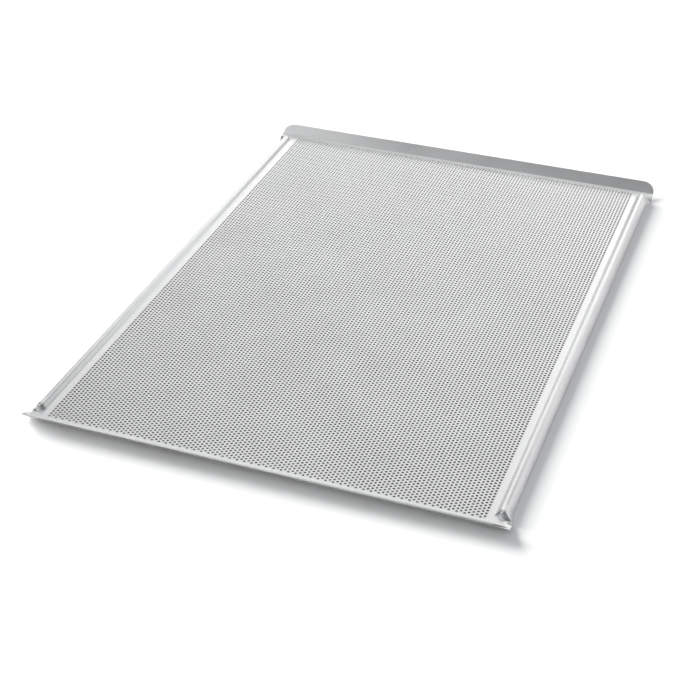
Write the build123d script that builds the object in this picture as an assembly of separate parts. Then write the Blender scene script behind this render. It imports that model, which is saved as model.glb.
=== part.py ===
from build123d import *

import os
from math import cos, pi, radians, sin, tan

# A flat baking tray pressed from one aluminium sheet. X is across the tray, Y along it and Z up.
# The origin is on the table, under the middle of the tray. Everything is in millimetres.

# Driving dimensions
TRAY_WIDTH = 457.0  # over the lips, along X
TRAY_LENGTH = 654.5  # over the lips, along Y
SHEET = 1.5  # thickness of the sheet
DECK_CLEARANCE = 3.5  # from the table to the deck's underside
DECK_HALF_WIDTH = 210.2  # of the deck that is flat all along

# Lips: the ends of the sheet, folded up
LIP_ANGLE = 45.0
LIP_BEND_Y = 316.4  # where the middle planes of the deck and the lip cross
LIP_BEND_RADIUS = 3.0  # of the sheet's middle plane
LIP_FLAT = 3.0  # length of deck that is made with the lip, up to its bend
LIP_CORNER_RADIUS = 13.0

# Ribs: the sides of the sheet, pinched into an inverted V whose outer edge is the foot.
# X and Z are where the straight stretches of the sheet's middle plane cross or end.
RIB_ROOT_X = 212.6
RIB_PEAK_X = 217.7
RIB_PEAK_RISE = 7.66  # above the deck's middle plane
RIB_FOOT_X = 224.2
RIB_ROOT_RADIUS = 4.0
RIB_PEAK_RADIUS = 2.6

# Corners: each rib ends in a blunt nose, and the sheet's edge flares out and rises to meet the lip
CORNER_START_Y = 288.0
NOSE_START_Y = 297.0
NOSE_LENGTH = 8.0
NOSE_STATIONS = 5
NOSE_SPREAD = 2.5  # how far out the crest runs as it drops
LIFT_START_Y = 303.5  # from here the sheet's outer edge rises off the table
FLARE_STATIONS = 3
CORNER_CREST = 0.3  # of the peak above the flat sheet's middle plane, past the nose

DECK_Z = DECK_CLEARANCE + SHEET / 2  # the deck's middle plane
DECK_END_Y = LIP_BEND_Y - LIP_FLAT
HALF_WIDTH = TRAY_WIDTH / 2
LIP_RUN = TRAY_LENGTH / 2 - LIP_BEND_Y - SHEET / 2 * sin(radians(LIP_ANGLE))

os.makedirs("parts", exist_ok=True)


def perforated_deck():
    """The flat sheet between the ribs and the lips."""
    return Pos(0, 0, DECK_Z) * Box(2 * DECK_HALF_WIDTH, 2 * DECK_END_Y, SHEET)


def above_table(solid):
    """The solid without what reaches below the table, which leaves a flat foot."""
    below = Pos(0, 0, -DECK_Z) * Box(2 * TRAY_WIDTH, 2 * TRAY_LENGTH, 2 * DECK_Z)
    return solid - below


def ease(share):
    """0 to 1 with a level start and end."""
    return (1 - cos(pi * min(max(share, 0), 1))) / 2


def section(y, pinch=1):
    """The right side's section at y. pinch is 1 along the rib and 0 past its nose."""
    rise = CORNER_CREST + pinch * (RIB_PEAK_RISE - CORNER_CREST)
    flare = ease((y - CORNER_START_Y) / (DECK_END_Y - CORNER_START_Y))
    lift = ease((y - LIFT_START_Y) / (DECK_END_Y - LIFT_START_Y))
    middle = FilletPolyline(
        (DECK_HALF_WIDTH, DECK_Z),
        (RIB_ROOT_X, DECK_Z),
        (RIB_PEAK_X + (1 - pinch) * NOSE_SPREAD, DECK_Z + rise),
        (RIB_FOOT_X + flare * (HALF_WIDTH - RIB_FOOT_X), DECK_Z * lift),
        radius=[RIB_ROOT_RADIUS, RIB_PEAK_RADIUS],
    )
    across = Plane(origin=(0, y, 0), x_dir=(1, 0, 0), z_dir=(0, -1, 0))
    return across * trace(middle, SHEET)


def edge_rib():
    """The right side's rib, from corner to corner."""
    return above_table(extrude(section(CORNER_START_Y), 2 * CORNER_START_Y))


def corner():
    """The rear right corner: the rib's nose and the sheet that flares out to the lip's width."""
    stations = [section(CORNER_START_Y)]
    for i in range(NOSE_STATIONS):
        turn = pi / 2 * i / (NOSE_STATIONS - 1)
        stations.append(section(NOSE_START_Y + NOSE_LENGTH * sin(turn), cos(turn)))
    nose_end_y = NOSE_START_Y + NOSE_LENGTH
    for i in range(FLARE_STATIONS):
        share = (i + 1) / FLARE_STATIONS
        stations.append(section(nose_end_y + share * (DECK_END_Y - nose_end_y), 0))
    return above_table(loft(stations, ruled=True))


def lip():
    """The rear lip: a strip of flat sheet, the bend and the slope with its two rounded corners."""
    middle = FilletPolyline(
        (DECK_END_Y, DECK_Z),
        (LIP_BEND_Y, DECK_Z),
        (LIP_BEND_Y + LIP_RUN, DECK_Z + LIP_RUN * tan(radians(LIP_ANGLE))),
        radius=LIP_BEND_RADIUS,
    )
    end_view = Plane(origin=(-HALF_WIDTH, 0, 0), x_dir=(0, 1, 0), z_dir=(1, 0, 0))
    folded = extrude(end_view * trace(middle, SHEET), TRAY_WIDTH)
    through_sheet = folded.edges().filter_by(lambda e: abs(e.length - SHEET) < SHEET / 100)
    return fillet(through_sheet.sort_by(Axis.Z)[-2:], LIP_CORNER_RADIUS)


def save(name, solid):
    """Writes one sub-part."""
    solid.label = name
    export_step(solid, f"parts/{name}.step")
    size = solid.bounding_box().size
    print(f"{name}: {solid.volume:.0f} mm3, {size.X:.1f} x {size.Y:.1f} x {size.Z:.1f} mm")


right_rib = edge_rib()
rear_right = corner()
rear = lip()

save("perforated_deck", perforated_deck())
save("right_edge_rib", right_rib)
save("left_edge_rib", mirror(right_rib, about=Plane.YZ))
save("rear_lip", rear)
save("front_lip", mirror(rear, about=Plane.XZ))
save("rear_right_corner", rear_right)
save("rear_left_corner", mirror(rear_right, about=Plane.YZ))
save("front_right_corner", mirror(rear_right, about=Plane.XZ))
save("front_left_corner", Rot(0, 0, 180) * rear_right)
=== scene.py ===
from math import cos, pi, radians, sin, sqrt, tan

import bmesh
import bpy
import numpy as np
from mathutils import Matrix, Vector


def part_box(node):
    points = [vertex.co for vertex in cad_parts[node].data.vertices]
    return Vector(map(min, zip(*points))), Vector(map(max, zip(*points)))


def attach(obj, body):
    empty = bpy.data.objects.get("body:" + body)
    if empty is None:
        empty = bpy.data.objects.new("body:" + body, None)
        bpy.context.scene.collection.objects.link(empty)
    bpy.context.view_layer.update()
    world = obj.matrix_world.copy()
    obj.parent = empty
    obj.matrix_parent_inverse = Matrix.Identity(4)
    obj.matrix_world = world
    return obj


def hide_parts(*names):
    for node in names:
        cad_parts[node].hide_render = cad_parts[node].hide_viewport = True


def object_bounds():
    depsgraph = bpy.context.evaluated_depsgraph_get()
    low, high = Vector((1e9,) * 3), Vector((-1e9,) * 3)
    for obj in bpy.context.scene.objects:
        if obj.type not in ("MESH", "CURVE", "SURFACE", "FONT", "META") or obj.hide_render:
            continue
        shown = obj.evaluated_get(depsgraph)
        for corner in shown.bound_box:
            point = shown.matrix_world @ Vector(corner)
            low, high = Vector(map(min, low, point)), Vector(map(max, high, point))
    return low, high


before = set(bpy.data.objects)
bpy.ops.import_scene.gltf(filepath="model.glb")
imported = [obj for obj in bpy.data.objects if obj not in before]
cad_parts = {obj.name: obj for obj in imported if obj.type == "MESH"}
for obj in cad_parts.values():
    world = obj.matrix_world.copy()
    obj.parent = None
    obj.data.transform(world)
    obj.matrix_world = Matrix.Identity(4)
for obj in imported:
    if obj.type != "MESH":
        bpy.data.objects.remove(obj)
cad_low, cad_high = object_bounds()

# The tray is one pressed aluminium sheet. Everything is in metres, with +Y along the tray and the origin
# on the floor under its middle.

INCH = 0.0254
HOLE_RADIUS = 3 / 64 * INCH
HOLE_PITCH = 5 / 32 * INCH  # between neighbours, in a triangular lattice with columns of holes along Y
COLUMNS = 120
HOLES_IN_COLUMN = 157  # in every other column, and one less in the columns between
STRIPS = 6  # the perforated field is made in strips of COLUMNS / STRIPS columns
HOLE_SIDES = 12

deck_low, deck_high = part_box("perforated_deck")
rib_low, rib_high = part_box("right_edge_rib")
lip_low, lip_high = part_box("rear_lip")

SHEET = deck_high.z - deck_low.z
DECK_Z = (deck_low.z + deck_high.z) / 2
HALF_WIDTH = lip_high.x
HALF_LENGTH = cad_high.y
COLUMN_STEP = HOLE_PITCH * sqrt(3) / 2
FIELD_X = COLUMNS / 2 * COLUMN_STEP
FIELD_Y = HOLES_IN_COLUMN / 2 * HOLE_PITCH

# The lips, as in CAD
LIP_ANGLE = radians(45)
FLAT_START = lip_low.y  # from here the whole width is flat, up to the lip's bend
LIP_BEND_Y = FLAT_START + 0.003
LIP_BEND_RADIUS = 0.003
LIP_BEND_SPANS = 8
LIP_CORNER_RADIUS = 0.013
LIP_CORNER_SPANS = 12

# The ribs, as in CAD: where the straight stretches of the sheet's middle cross or end
RIB_ROOT_X = rib_low.x + 0.0024
RIB_PEAK_X = rib_low.x + 0.0075
RIB_PEAK_RISE = 0.00766
RIB_FOOT_X = rib_low.x + 0.0140
RIB_ROOT_RADIUS = 0.004
RIB_PEAK_RADIUS = 0.0026
RIB_SPANS = 24  # in each bend of a section, to measure along it

# The nose at each end of a rib: Y of its start, its face and its end
CORNER_START = rib_high.y
NOSE_START = CORNER_START + 0.009
NOSE_FACE_TOP = NOSE_START + 0.0062
NOSE_FACE_FOOT = NOSE_START + 0.0078
NOSE_END = NOSE_START + 0.0105
NOSE_RADIUS = 0.0035
NOSE_FOOT_RADIUS = 0.003
NOSE_SPANS = (12, 8)  # in the nose's upper and lower bend
NOSE_SPREAD = 0.0025  # how far out the crest runs as it drops
LIFT_START = NOSE_START + 0.0065  # from here the sheet's outer edge rises off the floor
DEBURR = 0.0003  # width of the broken edge round the sheet
SHARP = radians(40)  # edges that turn more than this are not smoothed over


# ---- perforated field ----

def cell_pattern():
    """One hole's cell: points round it and on its edge, and triangles between the two rings."""
    half_x, half_y = COLUMN_STEP / 2, HOLE_PITCH / 2
    upper = [(half_x, 0), (half_x, half_y), (-half_x, half_y)]
    lower = [(-half_x, 0), (-half_x, -half_y), (half_x, -half_y)]
    outer = upper + lower
    inner = []
    for k in range(HOLE_SIDES):
        a = 2 * pi * k / HOLE_SIDES
        inner.append((HOLE_RADIUS * cos(a), HOLE_RADIUS * sin(a)))
    outer_angle = [np.arctan2(y, x) % (2 * pi) for x, y in outer] + [2 * pi]
    inner_angle = [2 * pi * k / HOLE_SIDES for k in range(HOLE_SIDES + 1)]
    triangles = []
    o = i = 0
    n_outer = len(outer)
    while o < n_outer or i < HOLE_SIDES:
        a, b = o % n_outer, n_outer + i % HOLE_SIDES
        if i == HOLE_SIDES or (o < n_outer and outer_angle[o + 1] <= inner_angle[i + 1]):
            triangles.append((a, (o + 1) % n_outer, b))
            o += 1
        else:
            triangles.append((a, n_outer + (i + 1) % HOLE_SIDES, b))
            i += 1
    return np.array(outer + inner), np.array(triangles)


def column_cells(column):
    """Centres of a column's holes."""
    short = column % 2
    count = HOLES_IN_COLUMN - short
    x = (column - (COLUMNS - 1) / 2) * COLUMN_STEP
    return [(x, (k - (count - 1) / 2) * HOLE_PITCH) for k in range(count)]


def strip_layout(first, last):
    """Plan of a strip of columns: its points and triangles. Half cells fill the ends of the short columns."""
    pattern, triangles = cell_pattern()
    centres = np.array([c for column in range(first, last) for c in column_cells(column)])
    points = (centres[:, None, :] + pattern[None, :, :]).reshape(-1, 2)
    tris = (triangles[None, :, :] + len(pattern) * np.arange(len(centres))[:, None, None]).reshape(-1, 3)
    fill_points, fill_tris = [], []
    for column in range(first, last):
        if column % 2:
            x = (column - (COLUMNS - 1) / 2) * COLUMN_STEP
            for side in (-1, 1):
                y0, y1 = sorted((side * FIELD_Y, side * (FIELD_Y - HOLE_PITCH / 2)))
                x0, x1 = x - COLUMN_STEP / 2, x + COLUMN_STEP / 2
                at = len(points) + len(fill_points)
                fill_points += [(x0, y0), (x1, y0), (x1, y1), (x0, y1)]
                fill_tris += [(at, at + 1, at + 2), (at, at + 2, at + 3)]
    points = np.vstack([points, fill_points])
    tris = np.vstack([tris, fill_tris])
    grain = 1e-7
    snapped = np.round(points / grain).astype(np.int64)
    _, first_index, inverse = np.unique(snapped, axis=0, return_index=True, return_inverse=True)
    return points[first_index], inverse.reshape(-1)[tris]


def perforated_strip(index):
    """A strip of the field as a closed solid: both faces, the walls of its holes and its four sides."""
    per_strip = COLUMNS // STRIPS
    points, tris = strip_layout(index * per_strip, (index + 1) * per_strip)
    n = len(points)
    top = np.column_stack([points, np.full(n, DECK_Z + SHEET / 2)])
    bottom = np.column_stack([points, np.full(n, DECK_Z - SHEET / 2)])
    edges = np.vstack([tris[:, [0, 1]], tris[:, [1, 2]], tris[:, [2, 0]]])
    ordered = np.sort(edges, axis=1)
    _, first_index, counts = np.unique(ordered, axis=0, return_index=True, return_counts=True)
    open_edges = edges[first_index[counts == 1]]
    walls = np.column_stack([open_edges[:, 1], open_edges[:, 0], open_edges[:, 0] + n, open_edges[:, 1] + n])
    loops = np.concatenate([tris.ravel(), (tris[:, ::-1] + n).ravel(), walls.ravel()])
    sizes = np.concatenate([np.full(2 * len(tris), 3), np.full(len(walls), 4)])
    starts = np.concatenate([[0], np.cumsum(sizes)[:-1]])
    verts = np.vstack([top, bottom])
    mesh = bpy.data.meshes.new(f"perforated_field_{index + 1}")
    mesh.vertices.add(len(verts))
    mesh.vertices.foreach_set("co", verts.astype(np.float32).ravel())
    mesh.loops.add(len(loops))
    mesh.loops.foreach_set("vertex_index", loops.astype(np.int32))
    mesh.polygons.add(len(sizes))
    mesh.polygons.foreach_set("loop_start", starts.astype(np.int32))
    mesh.update(calc_edges=True)
    mesh.validate()
    mesh.shade_smooth()
    mesh.set_sharp_from_angle(angle=SHARP)
    obj = bpy.data.objects.new(mesh.name, mesh)
    bpy.context.scene.collection.objects.link(obj)
    return obj


# ---- formed rim: margins, ribs, corners and lips ----

def rounded_path(corners, radii, steps):
    """Points along a polyline whose inner corners are arcs of the given radii, with steps spans in each."""
    corners = [np.array(c, float) for c in corners]
    points = [corners[0]]
    for before, at, after, radius, spans in zip(corners, corners[1:], corners[2:], radii, steps):
        into = (at - before) / np.linalg.norm(at - before)
        out = (after - at) / np.linalg.norm(after - at)
        turn = np.arctan2(into[0] * out[1] - into[1] * out[0], into @ out)
        start = at - into * radius * tan(abs(turn) / 2)
        centre = start + np.array([-into[1], into[0]]) * np.sign(turn) * radius
        arm = start - centre
        for a in np.linspace(0, turn, spans + 1):
            turned = (arm[0] * cos(a) - arm[1] * sin(a), arm[0] * sin(a) + arm[1] * cos(a))
            points.append(centre + np.array(turned))
    points.append(corners[-1])
    return np.array(points)


def rib_path(pinch, foot_x, foot_z, spans=RIB_SPANS):
    """The sheet's middle from the flat margin to its outer edge. pinch: 1 along the rib, 0 past its nose."""
    if pinch == 0 and foot_z == DECK_Z:
        return np.array([(rib_low.x, DECK_Z), (foot_x, DECK_Z)])
    peak = (RIB_PEAK_X + (1 - pinch) * NOSE_SPREAD, DECK_Z + pinch * RIB_PEAK_RISE)
    corners = [(rib_low.x, DECK_Z), (RIB_ROOT_X, DECK_Z), peak]
    corners.append((foot_x, foot_z))
    return rounded_path(corners, [RIB_ROOT_RADIUS, RIB_PEAK_RADIUS], [spans, spans])


def distance_along(path):
    """Share of the path's length at each of its points."""
    steps = np.linalg.norm(np.diff(path, axis=0), axis=1)
    return np.concatenate([[0], np.cumsum(steps)]) / steps.sum()


def rib_shares():
    """Where the rib's lines lie along its section: close together in the two bends and sparse between."""
    spans = RIB_SPANS // 2
    shares = distance_along(rib_path(1, RIB_FOOT_X, 0, spans))
    root_end, peak_start = shares[spans + 1], shares[spans + 2]
    slope = np.linspace(root_end, peak_start, 6)[1:-1]
    flank = np.linspace(shares[-2], 1, 8)[1:-1]
    return np.sort(np.concatenate([shares, slope, flank]))


def ease(t):
    """0 to 1 with a level start and end."""
    t = min(max(t, 0), 1)
    return (1 - cos(pi * t)) / 2


def rib_section(y, pinch, edge_x, shares):
    """(x, z) of each rib line at this distance from the tray's middle."""
    lift = ease((abs(y) - LIFT_START) / (FLAT_START - LIFT_START))
    path = rib_path(pinch, edge_x, DECK_Z * lift)
    at = distance_along(path)
    return np.column_stack([np.interp(shares, at, path[:, 0]), np.interp(shares, at, path[:, 1])])


def edge_at(y):
    """How far out the sheet's edge is on the deck: it flares from the rib's foot to the lip's width."""
    flare = ease((y - CORNER_START) / (FLAT_START - CORNER_START))
    return RIB_FOOT_X + (HALF_WIDTH - RIB_FOOT_X) * flare


def lip_rows():
    """(y, z, edge_x, pinch) of each line across the rear lip, from the perforated field to the lip's edge."""
    end_y = HALF_LENGTH - SHEET / 2 * sin(LIP_ANGLE)
    end_z = DECK_Z + (end_y - LIP_BEND_Y) * tan(LIP_ANGLE)
    profile = [(FLAT_START, DECK_Z), (LIP_BEND_Y, DECK_Z), (end_y, end_z)]
    path = rounded_path(profile, [LIP_BEND_RADIUS], [LIP_BEND_SPANS])
    rows = [(FIELD_Y, DECK_Z, edge_at(FIELD_Y), 0)] + [(y, z, HALF_WIDTH, 0) for y, z in path[:-1]]
    for a in np.linspace(0, pi / 2, LIP_CORNER_SPANS + 1):
        from_end = LIP_CORNER_RADIUS * (1 - sin(a))
        edge = HALF_WIDTH - LIP_CORNER_RADIUS * (1 - cos(a))
        rows.append((end_y - from_end * cos(LIP_ANGLE), end_z - from_end * sin(LIP_ANGLE), edge, 0))
    return rows


def nose_rows():
    """(y, z, edge_x, pinch) of each line across a rib's end, where it drops to the flat corner."""
    top = (NOSE_START, 1), (NOSE_FACE_TOP, 1)
    foot = (NOSE_FACE_FOOT, 0), (NOSE_END, 0)
    profile = [(y, pinch * RIB_PEAK_RISE) for y, pinch in top + foot]
    path = rounded_path(profile, [NOSE_RADIUS, NOSE_FOOT_RADIUS], NOSE_SPANS)
    return [(y, DECK_Z, edge_at(y), max(height, 0) / RIB_PEAK_RISE) for y, height in path]


def rim_rows():
    """(y, z, edge_x, pinch) of every line across the tray, front to rear."""
    along_rib = [(y, DECK_Z, RIB_FOOT_X, 1) for y in np.linspace(0, CORNER_START, 24)]
    flaring = [(y, DECK_Z, edge_at(y), 1) for y in np.linspace(CORNER_START, NOSE_START, 8)[1:-1]]
    past_nose = [(y, DECK_Z, edge_at(y), 0) for y in np.linspace(NOSE_END, FIELD_Y, 8)[1:-1]]
    half = along_rib + flaring + nose_rows() + past_nose + lip_rows()
    front = [(-y, z, edge, pinch) for y, z, edge, pinch in half[:0:-1]]
    return front + half


def formed_rim():
    """The plain sheet round the perforated field, as one closed solid."""
    shares = rib_shares()
    margin = np.linspace(FIELD_X, rib_low.x, 3)[:-1]
    inside = np.linspace(-FIELD_X, FIELD_X, 41)[1:-1]
    rows = rim_rows()
    verts = []
    for y, z, edge_x, pinch in rows:
        section = rib_section(y, pinch, edge_x, shares)
        right_x = np.concatenate([margin, section[:, 0]])
        right_z = np.concatenate([np.full(len(margin), DECK_Z), section[:, 1]]) + z - DECK_Z
        xs = np.concatenate([-right_x[::-1], inside, right_x])
        zs = np.concatenate([right_z[::-1], np.full(len(inside), z), right_z])
        verts.append(np.column_stack([xs, np.full(len(xs), y), zs]))
    grid = np.array(verts)
    n_rows, n_cols = grid.shape[:2]
    tiny = 1e-6
    cells = []
    for j in range(n_rows - 1):
        for i in range(n_cols - 1):
            middle = grid[j:j + 2, i:i + 2].reshape(-1, 3).mean(0)
            if abs(middle[0]) > FIELD_X - tiny or abs(middle[1]) > FIELD_Y - tiny:
                a = j * n_cols + i
                cells.append((a, a + 1, a + n_cols + 1, a + n_cols))
    mesh = sheet_mesh("formed_rim", grid, np.array(cells))
    deburr(mesh)
    obj = bpy.data.objects.new("formed_rim", mesh)
    bpy.context.scene.collection.objects.link(obj)
    return obj


def sheet_mesh(name, grid, cells):
    """A closed sheet of even thickness, half of it on each side of the grid of middle points."""
    normals = np.cross(np.gradient(grid, axis=1), np.gradient(grid, axis=0))
    normals /= np.linalg.norm(normals, axis=2, keepdims=True)
    middle = grid.reshape(-1, 3)
    offset = normals.reshape(-1, 3) * SHEET / 2
    verts = np.vstack([middle + offset, middle - offset])
    verts[:, 2] = np.maximum(verts[:, 2], 0)
    sides = np.vstack([cells[:, [k, (k + 1) % 4]] for k in range(4)])
    ordered = np.sort(sides, axis=1)
    _, first_index, counts = np.unique(ordered, axis=0, return_index=True, return_counts=True)
    open_sides = sides[first_index[counts == 1]]
    n = len(middle)
    walls = np.column_stack([open_sides[:, 1], open_sides[:, 0], open_sides[:, 0] + n, open_sides[:, 1] + n])
    faces = np.vstack([cells, cells[:, ::-1] + n, walls])
    mesh = bpy.data.meshes.new(name)
    mesh.from_pydata(verts.tolist(), [], faces.tolist())
    return mesh


def deburr(mesh):
    """Drops unused points and rounds the sheet's outer edges a little."""
    bm = bmesh.new()
    bm.from_mesh(mesh)
    loose = [v for v in bm.verts if not v.link_faces]
    bmesh.ops.delete(bm, geom=loose, context="VERTS")
    tiny = 1e-5
    square = radians(60)
    rim_edges = []
    for e in bm.edges:
        on_field = all(abs(v.co.x) < FIELD_X + tiny and abs(v.co.y) < FIELD_Y + tiny for v in e.verts)
        if not on_field and len(e.link_faces) == 2 and e.calc_face_angle(0) > square:
            rim_edges.append(e)
    bmesh.ops.bevel(bm, geom=rim_edges, offset=DEBURR, segments=2, profile=0.5, affect="EDGES")
    bmesh.ops.recalc_face_normals(bm, faces=bm.faces)
    bm.to_mesh(mesh)
    bm.free()
    mesh.shade_smooth()
    mesh.set_sharp_from_angle(angle=SHARP)


# ---- materials ----

def node(tree, kind, **settings):
    """A shader node with its settings and input values."""
    made = tree.nodes.new(kind)
    for key, value in settings.items():
        if key in made.inputs.keys():
            made.inputs[key].default_value = value
        else:
            setattr(made, key, value)
    return made


def aluminium(name, dark, pale):
    """Bare satin aluminium between two greys: fine rolling lines along the sheet and a cloudy matte finish."""
    material = bpy.data.materials.new(name)
    material.use_nodes = True
    tree = material.node_tree
    link = tree.links.new
    shader = tree.nodes["Principled BSDF"]
    shader.inputs["Metallic"].default_value = 1.0
    place = node(tree, "ShaderNodeTexCoord")
    stretch = node(tree, "ShaderNodeMapping")
    stretch.inputs["Scale"].default_value = (2600, 60, 2600)
    link(place.outputs["Object"], stretch.inputs["Vector"])
    lines = node(tree, "ShaderNodeTexNoise", Scale=1.0, Detail=3.0, Roughness=0.6)
    link(stretch.outputs["Vector"], lines.inputs["Vector"])
    clouds = node(tree, "ShaderNodeTexNoise", Scale=14.0, Detail=4.0, Roughness=0.55)
    link(place.outputs["Object"], clouds.inputs["Vector"])
    mixed = node(tree, "ShaderNodeMath", operation="MULTIPLY_ADD")
    mixed.inputs[1].default_value = 0.6
    link(lines.outputs["Fac"], mixed.inputs[0])
    link(clouds.outputs["Fac"], mixed.inputs[2])
    colour = node(tree, "ShaderNodeValToRGB")
    colour.color_ramp.elements[0].position = 0.55
    colour.color_ramp.elements[0].color = (dark, dark, dark, 1)
    colour.color_ramp.elements[1].position = 1.05
    colour.color_ramp.elements[1].color = (pale, pale, pale, 1)
    link(mixed.outputs["Value"], colour.inputs["Fac"])
    link(colour.outputs["Color"], shader.inputs["Base Color"])
    rough = node(tree, "ShaderNodeMapRange")
    rough.inputs["From Min"].default_value = 0.5
    rough.inputs["From Max"].default_value = 1.1
    rough.inputs["To Min"].default_value = 0.27
    rough.inputs["To Max"].default_value = 0.35
    link(mixed.outputs["Value"], rough.inputs["Value"])
    link(rough.outputs["Result"], shader.inputs["Roughness"])
    bump = node(tree, "ShaderNodeBump", Strength=0.07, Distance=0.0002)
    link(lines.outputs["Fac"], bump.inputs["Height"])
    link(bump.outputs["Normal"], shader.inputs["Normal"])
    return material


def floor_material():
    """Matt white studio floor."""
    material = bpy.data.materials.new("studio_floor")
    material.use_nodes = True
    shader = material.node_tree.nodes["Principled BSDF"]
    shader.inputs["Base Color"].default_value = (0.93, 0.93, 0.93, 1)
    shader.inputs["Roughness"].default_value = 0.9
    shader.inputs["Specular IOR Level"].default_value = 0.1
    return material


# ---- the tray ----

punched = aluminium("punched_aluminium", 0.72, 0.82)
plain = aluminium("plain_aluminium", 0.8, 0.9)
pieces = [perforated_strip(i) for i in range(STRIPS)]
rim = formed_rim()
for piece in pieces + [rim]:
    piece.data.materials.clear()
    piece.data.materials.append(plain if piece == rim else punched)
    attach(piece, "root")
for piece in pieces:
    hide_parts("perforated_deck")
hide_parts(*[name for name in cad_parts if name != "perforated_deck"])


# ---- studio ----

def collection_of(name, objects):
    """A collection that a light is limited to."""
    group = bpy.data.collections.new(name)
    for obj in objects:
        group.objects.link(obj)
    return group


def area_light(name, place, target, size, brightness, lit):
    """A softbox of even brightness at place that faces target and lights only what is in lit."""
    light = bpy.data.lights.new(name, "AREA")
    light.shape = "RECTANGLE"
    light.size, light.size_y = size
    light.energy = brightness * pi * size[0] * size[1]
    obj = bpy.data.objects.new(name, light)
    bpy.context.scene.collection.objects.link(obj)
    obj.location = place
    obj.rotation_euler = (Vector(target) - Vector(place)).to_track_quat("-Z", "Y").to_euler()
    obj.light_linking.receiver_collection = lit
    return obj


def sun_light(name, direction, spread, strength, lit):
    """Even soft light from a direction, on what is in lit."""
    light = bpy.data.lights.new(name, "SUN")
    light.angle = spread
    light.energy = strength
    obj = bpy.data.objects.new(name, light)
    bpy.context.scene.collection.objects.link(obj)
    obj.rotation_euler = Vector(direction).to_track_quat("Z", "Y").to_euler()
    obj.light_linking.receiver_collection = lit
    return obj


def studio():
    """White floor with its own light, softboxes for the metal to reflect and dim surroundings."""
    mesh = bpy.data.meshes.new("floor")
    reach = 8.0
    corners = [(-reach, -reach, 0), (reach, -reach, 0), (reach, reach, 0), (-reach, reach, 0)]
    mesh.from_pydata(corners, [], [(0, 1, 2, 3)])
    floor = bpy.data.objects.new("floor", mesh)
    bpy.context.scene.collection.objects.link(floor)
    floor.data.materials.append(floor_material())
    on_floor = collection_of("lit_floor", [floor])
    on_tray = collection_of("lit_tray", pieces + [rim])
    sun_light("floor_light", (-2.6, 0.85, 0.85), radians(42), 8.4, on_floor)
    sun_light("floor_fill", (0, 0, 1), radians(170), 1.0, on_floor)
    softboxes = {
        # name: place, target, size, brightness
        "low_back": ((-0.1, 2.87, 1.2), (0, 0.1, 0), (4.4, 0.7), 1.4),
        "high_back": ((-0.4, 2.33, 1.97), (0, 0.1, 0), (3.3, 1.17), 0.85),
        "back_right": ((1.9, 2.3, 0.7), (0, 0.1, 0), (1.0, 0.74), 1.1),
        "left_horizon": ((-1.83, 2.45, 0.38), (0, 0.1, 0.38), (1.6, 0.72), 0.8),
        "overhead": ((0, 0.8, 3.0), (0, 0.6, 0), (3.0, 2.2), 0.6),
        "left": ((-2.2, -1.0, 2.0), (0, 0, 0), (1.6, 1.6), 1.05),
        "front": ((-1.02, -1.77, 2.19), (0, 0, 0), (2.0, 1.2), 1.0),
    }
    for name, (place, target, size, brightness) in softboxes.items():
        area_light(f"{name}_softbox", place, target, size, brightness, on_tray)
    world = bpy.data.worlds.new("studio")
    bpy.context.scene.world = world
    world.use_nodes = True
    surroundings = world.node_tree.nodes["Background"]
    surroundings.inputs["Color"].default_value = (0.93, 0.965, 1, 1)
    surroundings.inputs["Strength"].default_value = 0.19
    bpy.context.scene.view_settings.view_transform = "Standard"


def camera():
    """Three-quarter view from the front right, a little above."""
    data = bpy.data.cameras.new("camera")
    data.lens = 78.7
    data.sensor_width = 36
    data.shift_x = 0.037
    data.clip_start = 0.05
    obj = bpy.data.objects.new("camera", data)
    bpy.context.scene.collection.objects.link(obj)
    obj.location = (0.4279, -1.2773, 0.8185)
    target = Vector((-0.0094, -0.1198, DECK_Z + SHEET / 2))
    obj.rotation_euler = (target - obj.location).to_track_quat("-Z", "Y").to_euler()
    bpy.context.scene.camera = obj


studio()
camera()
